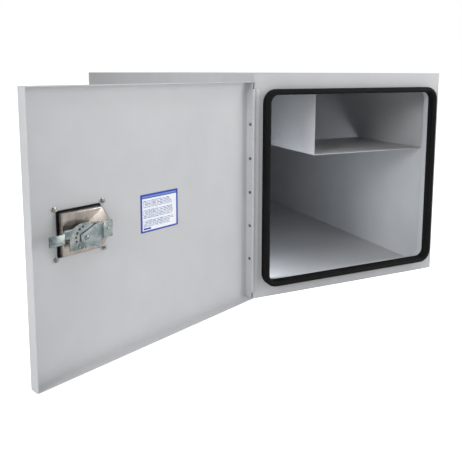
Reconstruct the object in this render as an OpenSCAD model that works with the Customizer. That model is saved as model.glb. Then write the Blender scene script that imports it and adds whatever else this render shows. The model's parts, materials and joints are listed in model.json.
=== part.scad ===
// Sheet-steel battery box with a single hinged door in its end face.
// Origin: centre of the four base bolt holes, on the underside. +Z up, the
// door end faces -Y, and the door is drawn swung open about its left edge.

/* [Body] */
// Width of the body across the door end
body_w = 610; // [580:5:680]
// Length of the body from the door end to the rear
body_d = 2160; // [1200:20:2400]
// Height of the body
body_h = 592; // [580:2:640]
// Thickness of the sheet steel
sheet_t = 2; // [1.5:0.5:2.5]

/* [Opening] */
// Distance from the body's side edge to the seal
margin_side = 24; // [22:1:30]
// Distance from the body's top edge to the seal
margin_top = 39; // [34:1:44]
// Distance from the body's underside to the seal
margin_bottom = 31; // [28:1:36]
// Outer corner radius of the seal
corner_r = 36; // [30:1:44]
// Width of the seal
seal_w = 15; // [13:1:16]
// How far the seal stands in front of the face
seal_stand = 25; // [24:0.5:25]
// How far the rim runs back into the box
rim_back = 24; // [18:1:24]

/* [Door] */
// Angle that the door is drawn open
door_open = 157; // [0:1:157]
// Height of the door's lower edge above the underside
door_low = 2; // [2:1:6]
// Height of the door's upper edge above the underside
door_high = 572; // [560:1:574]
// Depth of the folded door edges
door_edge = 26; // [26:0.5:28]

/* [Shelf] */
// Distance of the shelf's upright plate from the left edge of the body
divider_x = 220; // [180:5:260]
// Height of the shelf
shelf_z = 365; // [350:5:380]
// Depth of the shelf from front to back
shelf_d = 310; // [200:10:400]
// Distance of the shelf's front edge behind the face
shelf_back = 60; // [50:5:90]

/* [Mounting] */
// Spacing of the base bolt holes across the body
bolt_gap_x = 480; // [400:10:520]
// Spacing of the base bolt holes along the body
bolt_gap_y = 2060; // [900:20:2100]
// Radius of the base bolt holes
bolt_r = 5.5; // [4.5:0.5:6.5]

/* [Latch] */
// Distance of the latch pan's centre from the left edge of the body
latch_x = 498; // [490:1:500]
// Height of the latch pan's centre
latch_z = 289; // [280:1:300]
// Angle through which the latch handle can turn
handle_swing = 90; // [60:5:90]

/* [Hidden] */
$fn = 48;

white_coat = [0.78, 0.79, 0.81];
steel_bright = [0.66, 0.64, 0.61];
zinc = [0.70, 0.72, 0.73];
rubber = [0.06, 0.06, 0.07];

// Rim and seal, as insets from the seal's outer outline
rim_t = 2;
rim_front = 12;
rim_out = (seal_w - rim_t) / 2;
rim_in = rim_out + rim_t;
header_seam = body_h - 64;
sill_seam = 53;
bead_r = 1.5;

// Hinge, in the frame of the face: X from the left edge, Y back from the face
pin_r = 2;
knuckle_r = 3.5;
leaf_t = 1.5;
pin_gap = 0.05;
pin_x = -4;
pin_y = -knuckle_r;
leaf_body_w = 15;
leaf_door_reach = 16.5;
hinge_z0 = door_low + 18;
knuckle_n = 21;
knuckle_h = (door_high - door_low - 36) / knuckle_n;
knuckle_gap = 0.5;
notch = 0.7;
rivet_n = 5;
rivet_pitch = (door_high - door_low) * 0.155;
rivet_r = 2;
rivet_y = pin_y - 10;

// Door pan, as drawn shut
door_tip = -1.5;
door_in = door_tip - door_edge + sheet_t;
door_out = door_in - sheet_t;
door_x0 = pin_x - knuckle_r + leaf_t;
door_x1 = body_w + 4;
door_mid = (door_low + door_high) / 2;

// Latch, as drawn on the shut door
pan_back = -10;
pan_t = 1.2;
pan_half_x = 54.5;
pan_mid_x = latch_x - 6.5;
pan_half_z = 42.5;
pan_cut_x = 18;
pan_cut_z = 28;
flange_t = 1;
flange_x = 127;
flange_z = 116;
screw_x = 54.5;
screw_z = 49;
screw_r = 2.4;
screw_head_r = 4.6;
nut_r = 4.6;
nut_t = 4;
nut_flange_r = 5.6;
nut_flange_t = 1;
gasket_t = 2.5;
gasket_w = 3.5;
pivot_x = latch_x + 9;
pivot_z = latch_z - 6;
shaft_r = 5;
shaft_neck_r = 3;
bush_r = 8;
bush_flange_r = 11;
bush_flange_t = 2;
hub_r = 13;
hub_y = pan_back - pan_t - 3;
grip_t = 8.5;
grip_half_w = 6.5;
grip_half_l = 33;
lever_t = 3;
lever_y = 6.5;

// Bracket: foot, sloping web and end plate
bracket_y = 10;
bracket_t = 2.5;
foot_x0 = pan_mid_x - pan_half_x - 5;
foot_x1 = foot_x0 + 25;
foot_half_z = 17;
web_x = pivot_x - 33.5;
plate_root_z = 26;
plate_tip_x = pivot_x + 12;
plate_tip_z = 7;
bracket_rivet_x = foot_x0 + 11;
bracket_rivet_r = 4;
cap_gap = 0.3;

// Cam lever: fan plate round the shaft, and a tongue cranked back behind the rim
fan_r = 28;
fan_low = 21.5;
fan_front = 35;
fan_hole_ring = 22;
fan_hole_r = 2.6;
tongue_z = pivot_z + 12;
tongue_h = 17;
tongue_x = latch_x + 97;
tongue_y = rim_back + 1.5;
tongue_root_x = latch_x + 40;
crank_x0 = latch_x + 54;
crank_x1 = latch_x + 67;
roll_r = 2.4;
lock_r = 7;
key_slot_w = 1.6;
key_slot_h = 8;

// Frame of the face, and of the door where it hangs
module at_face() translate([-body_w / 2, -body_d / 2, 0]) children();
module on_door()
    at_face() translate([pin_x, pin_y, 0]) rotate([0, 0, -door_open])
        translate([-pin_x, -pin_y, 0]) children();

// Block between two corners
module block(x0, x1, y0, y1, z0, z1)
    translate([x0, y0, z0]) cube([x1 - x0, y1 - y0, z1 - z0]);

// Flat outline in X and Z, thickened from y0 back to y1
module slab(y0, y1)
    translate([0, y1, 0]) rotate([90, 0, 0]) linear_extrude(height = y1 - y0) children();

// Outline in X and Y, thickened from z0 up to z1
module column(z0, z1) translate([0, 0, z0]) linear_extrude(height = z1 - z0) children();

// Rod or disc along Y
module rod_y(x, z, y0, y1, r)
    translate([x, y1, z]) rotate([90, 0, 0]) cylinder(r = r, h = y1 - y0);

// Rectangle with round corners
module round_rect(x0, x1, z0, z1, r) {
    translate([x0 + r, z0]) square([x1 - x0 - 2 * r, z1 - z0]);
    translate([x0, z0 + r]) square([x1 - x0, z1 - z0 - 2 * r]);
    for (x = [x0 + r, x1 - r], z = [z0 + r, z1 - r]) translate([x, z]) circle(r = r);
}

// Outline of the opening, a given inset from the seal's outer edge
module opening(inset)
    round_rect(margin_side + inset, body_w - margin_side - inset,
               margin_bottom + inset, body_h - margin_top - inset, corner_r - inset);

module left_side_panel()
    color(white_coat) at_face() block(0, sheet_t, 0, body_d, 0, body_h);

module right_side_panel()
    color(white_coat) at_face() block(body_w - sheet_t, body_w, 0, body_d, 0, body_h);

module top_panel()
    color(white_coat) at_face()
        block(sheet_t, body_w - sheet_t, sheet_t, body_d - sheet_t, body_h - sheet_t, body_h);

module floor_panel()
    color(white_coat) difference() {
        at_face() block(sheet_t, body_w - sheet_t, sheet_t, body_d - sheet_t, 0, sheet_t);
        for (sx = [-1, 1], sy = [-1, 1])
            translate([sx * bolt_gap_x / 2, sy * bolt_gap_y / 2, -1]) cylinder(r = bolt_r, h = 4);
    }

module rear_panel()
    color(white_coat) at_face()
        block(sheet_t, body_w - sheet_t, body_d - sheet_t, body_d, 0, body_h);

// Part of the face between two heights, with the opening cut out
module face_part(x0, x1, z0, z1)
    color(white_coat) at_face() slab(0, sheet_t) difference() {
        translate([x0, z0]) square([x1 - x0, z1 - z0]);
        opening(rim_out);
    }

module front_header() face_part(sheet_t, body_w - sheet_t, header_seam, body_h);
module front_sill() face_part(sheet_t, body_w - sheet_t, 0, sill_seam);
module left_jamb() face_part(sheet_t, margin_side + rim_in, sill_seam, header_seam);
module right_jamb()
    face_part(body_w - margin_side - rim_in, body_w - sheet_t, sill_seam, header_seam);

// Ring between two insets of the opening
module ring(inset_out, inset_in) difference() {
    opening(inset_out);
    opening(inset_in);
}

module opening_rim()
    color(white_coat) at_face() slab(-rim_front, rim_back) ring(rim_out, rim_in);

// Rubber trim that grips the rim
module door_seal()
    color(rubber) at_face() difference() {
        slab(-seal_stand, 0) ring(0, seal_w);
        slab(-rim_front, 1) ring(rim_out, rim_in);
    }

// Half-round beads where the side flanges meet the header and sill
module seam_welds()
    color(white_coat) at_face() for (z = [sill_seam, header_seam]) {
        for (span = [[leaf_body_w + 2, margin_side - 1.5],
                     [body_w - margin_side + 2, body_w - sheet_t - 2]])
            intersection() {
                translate([span[0], 0, z]) rotate([0, 90, 0])
                    cylinder(r = bead_r, h = span[1] - span[0]);
                block(0, body_w, -bead_r, 0, z - bead_r, z + bead_r);
            }
    }

module shelf_plate()
    color(white_coat) at_face()
        block(divider_x, body_w - sheet_t, shelf_back, shelf_back + shelf_d,
              shelf_z - sheet_t, shelf_z);

module shelf_divider()
    color(white_coat) at_face()
        block(divider_x, divider_x + sheet_t, shelf_back, shelf_back + shelf_d,
              shelf_z, body_h - sheet_t);

// Barrels of one hinge leaf: every second one, from the first index
module knuckles(first)
    for (i = [first:2:knuckle_n - 1])
        translate([pin_x, pin_y, hinge_z0 + i * knuckle_h])
            cylinder(r = knuckle_r, h = knuckle_h - knuckle_gap);

module pin_bore()
    translate([pin_x, pin_y, 0]) cylinder(r = pin_r + pin_gap, h = body_h);

module hinge_leaf_body()
    color(white_coat) at_face() difference() {
        union() {
            block(notch, leaf_body_w, -leaf_t, 0, hinge_z0,
                  hinge_z0 + knuckle_n * knuckle_h - knuckle_gap);
            knuckles(0);
            for (i = [0:2:knuckle_n - 1])
                block(pin_x, notch, -leaf_t, 0, hinge_z0 + i * knuckle_h,
                      hinge_z0 + (i + 1) * knuckle_h - knuckle_gap);
        }
        pin_bore();
    }

module hinge_pin()
    color(steel_bright) at_face() translate([pin_x, pin_y, hinge_z0 - 2]) {
        cylinder(r = pin_r, h = knuckle_n * knuckle_h + 3.5);
        cylinder(r = knuckle_r - 0.3, h = 1.7);
    }

module hinge_leaf_door()
    color(white_coat) on_door() difference() {
        union() {
            block(pin_x - knuckle_r, door_x0, pin_y - leaf_door_reach,
                  pin_y - knuckle_r - notch, hinge_z0,
                  hinge_z0 + knuckle_n * knuckle_h - knuckle_gap);
            knuckles(1);
            for (i = [1:2:knuckle_n - 1])
                block(pin_x - knuckle_r, door_x0, pin_y - knuckle_r - notch, pin_y,
                      hinge_z0 + i * knuckle_h, hinge_z0 + (i + 1) * knuckle_h - knuckle_gap);
        }
        pin_bore();
        rivet_row() rotate([0, 90, 0]) translate([0, 0, -8]) cylinder(r = rivet_r + 0.05, h = 16);
    }

// Places a child at each hinge rivet, on the hinge edge of the door
module rivet_row()
    for (i = [0:rivet_n - 1])
        translate([door_x0, rivet_y, door_mid + (i - (rivet_n - 1) / 2) * rivet_pitch])
            children();

// Round-headed rivets through the door's hinge edge and the leaf
module hinge_rivets()
    color(steel_bright) on_door() rivet_row() rotate([0, 90, 0]) {
        translate([0, 0, -leaf_t - 1]) cylinder(r = 3.2, h = 1);
        translate([0, 0, -leaf_t]) cylinder(r = rivet_r, h = leaf_t + sheet_t);
        intersection() {
            translate([0, 0, sheet_t - 3.5]) sphere(r = 5.4);
            translate([0, 0, sheet_t]) cylinder(r = 6, h = 3);
        }
    }

// Outline of the latch pan's body, grown by a given amount
module pan_outline(grow) {
    x0 = pan_mid_x - pan_half_x - grow;
    x1 = pan_mid_x + pan_half_x + grow;
    z0 = latch_z - pan_half_z - grow;
    z1 = latch_z + pan_half_z + grow;
    polygon([[x1, z0], [x1, z1], [x0 + pan_cut_x, z1], [x0, z1 - pan_cut_z],
             [x0, z0 + pan_cut_z], [x0 + pan_cut_x, z0]]);
}

module screw_places()
    for (sx = [-1, 1], sz = [-1, 1])
        translate([latch_x + sx * screw_x, 0, latch_z + sz * screw_z]) children();

// Door: a flat sheet with its four edges folded in
module door_pan()
    color(white_coat) on_door() difference() {
        union() {
            block(door_x0, door_x1, door_out, door_in, door_low, door_high);
            for (z = [door_low, door_high - sheet_t])
                block(door_x0, door_x1, door_in, door_tip, z, z + sheet_t);
            block(door_x1 - sheet_t, door_x1, door_in, door_tip, door_low, door_high);
            block(door_x0, door_x0 + sheet_t, door_in, pin_y - knuckle_r - notch,
                  door_low, door_high);
        }
        slab(door_out - 1, door_in + 1) pan_outline(0.5);
        screw_places() rod_y(0, 0, door_out - 1, door_in + 1, screw_r + 0.3);
        rivet_row() rotate([0, 90, 0]) translate([0, 0, -1]) cylinder(r = rivet_r + 0.05, h = 4);
    }

module care_label()
    color("white") on_door()
        block(latch_x - 260, latch_x - 152, door_in, door_in + 0.4, latch_z - 41, latch_z + 44);

// Stainless pan let in from outside, with a flange round it
module latch_pan()
    color(steel_bright) on_door() difference() {
        union() {
            slab(door_out - flange_t, door_out)
                round_rect(latch_x - flange_x / 2, latch_x + flange_x / 2,
                           latch_z - flange_z / 2, latch_z + flange_z / 2, 8);
            slab(door_out - 0.5, pan_back) pan_outline(0);
        }
        slab(door_out - 2, pan_back - pan_t) pan_outline(-pan_t);
        rod_y(pivot_x, pivot_z, pan_back - 5, pan_back + 5, bush_r + pin_gap);
        screw_places() rod_y(0, 0, door_out - 2, door_out + 1, screw_r + 0.1);
        rod_y(bracket_rivet_x, pivot_z, pan_back - 5, pan_back + 5, rivet_r + pin_gap);
    }

// Black gasket round the pan, against the inner face of the door, notched for the nuts
module latch_gasket()
    color(rubber) on_door() difference() {
        slab(door_in, door_in + gasket_t) difference() {
            pan_outline(gasket_w);
            pan_outline(0.4);
        }
        screw_places() rod_y(0, 0, door_in - 1, door_in + gasket_t + 1, nut_flange_r + 0.5);
    }

module latch_screws()
    color(steel_bright) on_door() screw_places() {
        rod_y(0, 0, door_out - flange_t, door_in + 9, screw_r);
        rod_y(0, 0, door_out - flange_t - 1.2, door_out - flange_t, screw_head_r);
    }

module latch_nuts()
    color(zinc) on_door() screw_places() difference() {
        union() {
            rod_y(0, 0, door_in, door_in + nut_flange_t, nut_flange_r);
            translate([0, door_in + nut_flange_t + nut_t, 0]) rotate([90, 0, 0])
                cylinder(r = nut_r, h = nut_t, $fn = 6);
        }
        rod_y(0, 0, door_in - 1, door_in + 6, screw_r + 0.05);
    }

// Zinc-plated bracket: a foot on the pan, a sloping web and an end plate that
// carries the end of the shaft
module pivot_bracket()
    color(zinc) on_door() difference() {
        union() {
            column(pivot_z - foot_half_z, pivot_z + foot_half_z)
                polygon([[foot_x0, pan_back], [foot_x1, pan_back],
                         [web_x + bracket_t, bracket_y], [web_x + bracket_t, bracket_y + bracket_t],
                         [web_x, bracket_y + bracket_t], [web_x, bracket_y + 1],
                         [foot_x1 - bracket_t, pan_back + bracket_t],
                         [foot_x0, pan_back + bracket_t]]);
            slab(bracket_y, bracket_y + bracket_t) translate([0, pivot_z])
                polygon([[plate_tip_x, -plate_tip_z], [plate_tip_x, plate_tip_z],
                         [web_x + 3, plate_root_z], [web_x, plate_root_z],
                         [web_x, -plate_root_z], [web_x + 3, -plate_root_z]]);
        }
        rod_y(pivot_x, pivot_z, bracket_y - 1, bracket_y + 4, shaft_neck_r + pin_gap);
        rod_y(bracket_rivet_x, pivot_z, pan_back - 1, pan_back + 4, rivet_r + pin_gap);
    }

module bracket_rivet()
    color(zinc) on_door() translate([bracket_rivet_x, 0, pivot_z]) {
        rod_y(0, 0, pan_back - pan_t, pan_back + bracket_t, rivet_r);
        rod_y(0, 0, pan_back + bracket_t, pan_back + bracket_t + 1.6, bracket_rivet_r);
        rod_y(0, 0, pan_back - pan_t - 1.2, pan_back - pan_t, bracket_rivet_r - 0.6);
    }

module shaft_bush()
    color("goldenrod") on_door() difference() {
        union() {
            rod_y(pivot_x, pivot_z, pan_back - pan_t - 2.5, pan_back + bush_flange_t, bush_r);
            rod_y(pivot_x, pivot_z, pan_back, pan_back + bush_flange_t, bush_flange_r);
        }
        rod_y(pivot_x, pivot_z, pan_back - 10, pan_back + 5, shaft_r + pin_gap);
    }

module handle_shaft()
    color(steel_bright) on_door() {
        rod_y(pivot_x, pivot_z, hub_y, lever_y + lever_t, shaft_r);
        rod_y(pivot_x, pivot_z, lever_y + lever_t, bracket_y + bracket_t + cap_gap, shaft_neck_r);
    }

module shaft_collar()
    color(zinc) on_door() difference() {
        rod_y(pivot_x, pivot_z, pan_back + bush_flange_t + cap_gap, lever_y, bush_r);
        rod_y(pivot_x, pivot_z, pan_back, lever_y + 1, shaft_r + pin_gap);
    }

// Domed end that holds the shaft in the bracket
module shaft_cap()
    color(steel_bright) on_door() translate([pivot_x, bracket_y + bracket_t + cap_gap, pivot_z])
        rotate([-90, 0, 0]) intersection() {
            translate([0, 0, -4]) sphere(r = 6.6);
            cylinder(r = 8, h = 3);
        }

// T-shaped grip that sits inside the pan on the outside of the door
module t_handle()
    color(steel_bright) on_door() difference() {
        union() {
            rod_y(pivot_x, pivot_z, door_out + 0.5, hub_y, hub_r);
            slab(door_out + 0.5, door_out + 0.5 + grip_t)
                round_rect(pivot_x - grip_half_w, pivot_x + grip_half_w,
                           pivot_z - grip_half_l, pivot_z + grip_half_l, grip_half_w - 0.5);
        }
        rod_y(pivot_x, pivot_z, door_out - 1, door_out + 8, lock_r + pin_gap);
    }

module lock_cylinder()
    color("goldenrod") on_door() difference() {
        rod_y(pivot_x, pivot_z, door_out + 0.2, door_out + 7.9, lock_r);
        block(pivot_x - key_slot_w / 2, pivot_x + key_slot_w / 2, door_out - 1, door_out + 4,
              pivot_z - key_slot_h / 2, pivot_z + key_slot_h / 2);
    }

// Outline of the fan plate, with the tongue's root
module fan_outline() translate([pivot_x, pivot_z]) {
    difference() {
        circle(r = fan_r);
        translate([-fan_r, -2 * fan_r]) square([2 * fan_r, 2 * fan_r - fan_low]);
    }
    polygon([[0, -fan_low], [fan_front, -fan_low], [fan_front, tongue_z - pivot_z + 6],
             [12, fan_r], [0, fan_r]]);
    translate([0, tongue_z - pivot_z - tongue_h / 2])
        square([tongue_root_x + 3 - pivot_x, tongue_h]);
}

// Cam that swings behind the rim: fan plate with setting holes and a cranked tongue
module cam_lever()
    color(zinc) on_door() difference() {
        union() {
            slab(lever_y, lever_y + lever_t) fan_outline();
            column(tongue_z - tongue_h / 2, tongue_z + tongue_h / 2)
                polygon([[tongue_root_x, lever_y], [crank_x0 + 1, lever_y],
                         [crank_x1 + 1, tongue_y], [tongue_x, tongue_y],
                         [tongue_x, tongue_y + lever_t], [crank_x1 - 1, tongue_y + lever_t],
                         [crank_x0 - 1, lever_y + lever_t], [tongue_root_x, lever_y + lever_t]]);
            translate([crank_x1 + 1, tongue_y + roll_r, tongue_z - tongue_h / 2])
                rotate([0, 90, 0]) cylinder(r = roll_r, h = tongue_x - crank_x1 - 1);
        }
        rod_y(pivot_x, pivot_z, lever_y - 1, lever_y + lever_t + 1, shaft_r + pin_gap);
        for (a = [-80:22:74])
            rod_y(pivot_x + fan_hole_ring * cos(a), pivot_z + fan_hole_ring * sin(a),
                  lever_y - 1, lever_y + lever_t + 1, fan_hole_r);
    }

left_side_panel();
right_side_panel();
top_panel();
floor_panel();
rear_panel();
front_header();
front_sill();
left_jamb();
right_jamb();
opening_rim();
door_seal();
seam_welds();
shelf_plate();
shelf_divider();
hinge_leaf_body();
hinge_pin();
door_pan();
hinge_leaf_door();
hinge_rivets();
care_label();
latch_pan();
latch_gasket();
latch_screws();
latch_nuts();
pivot_bracket();
bracket_rivet();
shaft_bush();
handle_shaft();
t_handle();
shaft_collar();
cam_lever();
shaft_cap();
lock_cylinder();
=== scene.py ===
import json
import math

import bmesh
import bpy
from mathutils import Matrix, Vector

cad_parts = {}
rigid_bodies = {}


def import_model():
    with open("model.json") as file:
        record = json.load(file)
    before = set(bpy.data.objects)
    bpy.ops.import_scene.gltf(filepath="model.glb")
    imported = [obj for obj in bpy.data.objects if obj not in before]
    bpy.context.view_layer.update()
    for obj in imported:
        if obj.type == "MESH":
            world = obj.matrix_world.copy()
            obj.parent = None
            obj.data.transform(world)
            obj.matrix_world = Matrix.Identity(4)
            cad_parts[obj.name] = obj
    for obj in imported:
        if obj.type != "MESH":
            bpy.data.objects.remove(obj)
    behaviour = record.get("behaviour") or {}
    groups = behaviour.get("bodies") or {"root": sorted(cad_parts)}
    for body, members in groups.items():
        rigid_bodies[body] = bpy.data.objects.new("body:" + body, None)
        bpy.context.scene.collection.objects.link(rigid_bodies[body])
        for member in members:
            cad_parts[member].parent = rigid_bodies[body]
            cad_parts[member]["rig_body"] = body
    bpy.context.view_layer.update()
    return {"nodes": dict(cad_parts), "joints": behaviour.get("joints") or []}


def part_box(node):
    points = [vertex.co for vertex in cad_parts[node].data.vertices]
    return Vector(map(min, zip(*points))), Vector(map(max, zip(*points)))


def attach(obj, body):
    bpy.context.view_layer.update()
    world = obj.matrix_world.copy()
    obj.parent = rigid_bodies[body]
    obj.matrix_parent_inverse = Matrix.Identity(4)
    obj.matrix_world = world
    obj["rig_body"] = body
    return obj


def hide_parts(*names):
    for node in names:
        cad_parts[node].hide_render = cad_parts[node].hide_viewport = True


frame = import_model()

# Looks of a white sheet-steel battery box: panels with softened edges, a bulb
# seal round the doorway, a knuckled hinge, and a cam latch let into the door.
# Everything on the door is built as if the door were shut and then swung open.

MM = 0.001
FLAT = math.radians(0.5)
SHARP = math.radians(35)
SEED = 4


# ------------------------------------------------------------ places and sizes

def joint_named(name):
    return next(joint for joint in frame["joints"] if joint["name"] == name)


hinge = joint_named("door_hinge")
pin = Vector(hinge["pos_m"])
door_angle = math.radians(hinge["range_deg"][1])
door_turn = Matrix.Translation(pin) @ Matrix.Rotation(-door_angle, 4, "Z")
door_turn = door_turn @ Matrix.Translation(-pin)
door_shut = door_turn.inverted()


def on_door(body):
    return body != "enclosure"


def shut_box(node):
    """Lowest and highest corners of a CAD node with the door shut."""
    part = frame["nodes"][node]
    back = door_shut if on_door(part["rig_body"]) else Matrix.Identity(4)
    points = [back @ corner.co for corner in part.data.vertices]
    low = Vector([min(point[axis] for point in points) for axis in range(3)])
    high = Vector([max(point[axis] for point in points) for axis in range(3)])
    return low, high


# -------------------------------------------------------------- mesh building

def cad_copy(node):
    """A merged copy of a CAD node's mesh, door shut, with its flat faces made whole."""
    part = frame["nodes"][node]
    shape = bmesh.new()
    shape.from_mesh(part.data)
    if on_door(part["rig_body"]):
        shape.transform(door_shut)
    bmesh.ops.remove_doubles(shape, verts=shape.verts, dist=0.002 * MM)
    bmesh.ops.dissolve_limit(shape, angle_limit=FLAT, verts=shape.verts, edges=shape.edges)
    return shape


def soften(shape, width, shortest=0.0, segments=3, among=None):
    """Rounds the sharp edges that are longer than the shortest, or those that among picks."""
    edges = []
    for edge in shape.edges:
        if not edge.is_manifold or edge.calc_face_angle(0.0) < SHARP:
            continue
        if edge.calc_length() < shortest or (among and not among(edge)):
            continue
        edges.append(edge)
    bmesh.ops.bevel(shape, geom=edges, offset=width, offset_type="OFFSET", segments=segments,
                    profile=0.5, affect="EDGES", clamp_overlap=True)
    return shape


def lathe(outline, sides):
    """A turned solid about Z: outline lists (radius, height) from the bottom up."""
    shape = bmesh.new()
    rings = []
    for radius, height in outline:
        if radius < 1e-7:
            rings.append([shape.verts.new((0, 0, height))])
            continue
        turns = [2 * math.pi * step / sides for step in range(sides)]
        rings.append([shape.verts.new((radius * math.cos(a), radius * math.sin(a), height))
                      for a in turns])
    for below, above in zip(rings, rings[1:]):
        for step in range(sides):
            following = (step + 1) % sides
            if len(below) == 1:
                shape.faces.new((below[0], above[following], above[step]))
            elif len(above) == 1:
                shape.faces.new((below[step], below[following], above[0]))
            else:
                shape.faces.new((below[step], below[following], above[following], above[step]))
    if len(rings[0]) > 1:
        shape.faces.new(list(reversed(rings[0])))
    if len(rings[-1]) > 1:
        shape.faces.new(rings[-1])
    bmesh.ops.recalc_face_normals(shape, faces=shape.faces)
    return shape


def arc(centre_r, centre_z, radius, start, end, steps):
    """Points on an arc, in degrees, for a turned outline."""
    points = []
    for step in range(steps + 1):
        angle = math.radians(start + (end - start) * step / steps)
        points.append((centre_r + radius * math.cos(angle), centre_z + radius * math.sin(angle)))
    return points


def piece(name, shape, body, finish, nodes=(), soft_angle=30):
    """Makes a finished piece from a mesh, in its place on its body."""
    if isinstance(shape, bmesh.types.BMesh):
        mesh = bpy.data.meshes.new(name)
        shape.to_mesh(mesh)
        shape.free()
    else:
        mesh = shape
        mesh.name = name
    if on_door(body):
        mesh.transform(door_turn)
    mesh.materials.clear()
    mesh.materials.append(finish)
    mesh.polygons.foreach_set("use_smooth", [True] * len(mesh.polygons))
    mesh.set_sharp_from_angle(angle=math.radians(soft_angle))
    mesh.update()
    made = bpy.data.objects.new(name, mesh)
    bpy.context.scene.collection.objects.link(made)
    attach(made, body)
    if nodes:
        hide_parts(*nodes)
    return made


# ------------------------------------------------------------- geometry nodes

def new_tree(name, sockets, result):
    """A Geometry Nodes tree with named inputs, and its input and output nodes."""
    tree = bpy.data.node_groups.new(name, "GeometryNodeTree")
    for title, kind in sockets:
        tree.interface.new_socket(title, in_out="INPUT", socket_type="NodeSocket" + kind)
    tree.interface.new_socket(result, in_out="OUTPUT", socket_type="NodeSocketGeometry")
    return tree, tree.nodes.new("NodeGroupInput"), tree.nodes.new("NodeGroupOutput")


def join(tree, *pairs):
    for source, target in pairs:
        tree.links.new(source, target)


def maths(tree, work, *values):
    """A Math node whose inputs are numbers or other sockets."""
    made = tree.nodes.new("ShaderNodeMath")
    made.operation = work
    for place, value in enumerate(values):
        if isinstance(value, (int, float)):
            made.inputs[place].default_value = value
        else:
            tree.links.new(value, made.inputs[place])
    return made.outputs[0]


def scaled(tree, vector, amount):
    made = tree.nodes.new("ShaderNodeVectorMath")
    made.operation = "SCALE"
    join(tree, (vector, made.inputs[0]), (amount, made.inputs["Scale"]))
    return made.outputs[0]


def added(tree, first, second):
    made = tree.nodes.new("ShaderNodeVectorMath")
    join(tree, (first, made.inputs[0]), (second, made.inputs[1]))
    return made.outputs[0]


def rows_tree():
    """Repeats one part in columns and rows, each turned a little about its own axis."""
    tree, given, result = new_tree(
        "rows_of_one_part",
        (("Part", "Geometry"), ("Columns", "Int"), ("Rows", "Int"), ("First place", "Vector"),
         ("Column step", "Vector"), ("Row step", "Vector"), ("Facing", "Vector"),
         ("Loose turn", "Float"), ("Seed", "Int"), ("Finish", "Material")),
        "Parts")
    number = tree.nodes.new("GeometryNodeInputIndex").outputs[0]
    column = maths(tree, "MODULO", number, given.outputs["Columns"])
    row = maths(tree, "FLOOR", maths(tree, "DIVIDE", number, given.outputs["Columns"]))
    along = scaled(tree, given.outputs["Column step"], column)
    across = scaled(tree, given.outputs["Row step"], row)
    place = added(tree, added(tree, given.outputs["First place"], along), across)
    line = tree.nodes.new("GeometryNodeMeshLine")
    moved = tree.nodes.new("GeometryNodeSetPosition")
    copies = tree.nodes.new("GeometryNodeInstanceOnPoints")
    facing = tree.nodes.new("FunctionNodeEulerToRotation")
    chance = tree.nodes.new("FunctionNodeRandomValue")
    chance.data_type = "FLOAT"
    angle = tree.nodes.new("ShaderNodeCombineXYZ")
    loose = tree.nodes.new("FunctionNodeEulerToRotation")
    turned = tree.nodes.new("GeometryNodeRotateInstances")
    real = tree.nodes.new("GeometryNodeRealizeInstances")
    coat = tree.nodes.new("GeometryNodeSetMaterial")
    back_turn = maths(tree, "MULTIPLY", given.outputs["Loose turn"], -1.0)
    chance_in = {socket.identifier: socket for socket in chance.inputs}
    chance_out = {socket.identifier: socket for socket in chance.outputs}
    join(tree,
         (maths(tree, "MULTIPLY", given.outputs["Columns"], given.outputs["Rows"]),
          line.inputs["Count"]),
         (line.outputs["Mesh"], moved.inputs["Geometry"]),
         (place, moved.inputs["Position"]),
         (moved.outputs["Geometry"], copies.inputs["Points"]),
         (given.outputs["Part"], copies.inputs["Instance"]),
         (given.outputs["Facing"], facing.inputs[0]),
         (facing.outputs[0], copies.inputs["Rotation"]),
         (back_turn, chance_in["Min_001"]),
         (given.outputs["Loose turn"], chance_in["Max_001"]),
         (given.outputs["Seed"], chance_in["Seed"]),
         (chance_out["Value_001"], angle.inputs["Z"]),
         (angle.outputs[0], loose.inputs[0]),
         (copies.outputs["Instances"], turned.inputs["Instances"]),
         (loose.outputs[0], turned.inputs["Rotation"]),
         (turned.outputs["Instances"], real.inputs["Geometry"]),
         (real.outputs["Geometry"], coat.inputs["Geometry"]),
         (given.outputs["Finish"], coat.inputs["Material"]),
         (coat.outputs["Geometry"], result.inputs[0]))
    return tree


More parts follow.
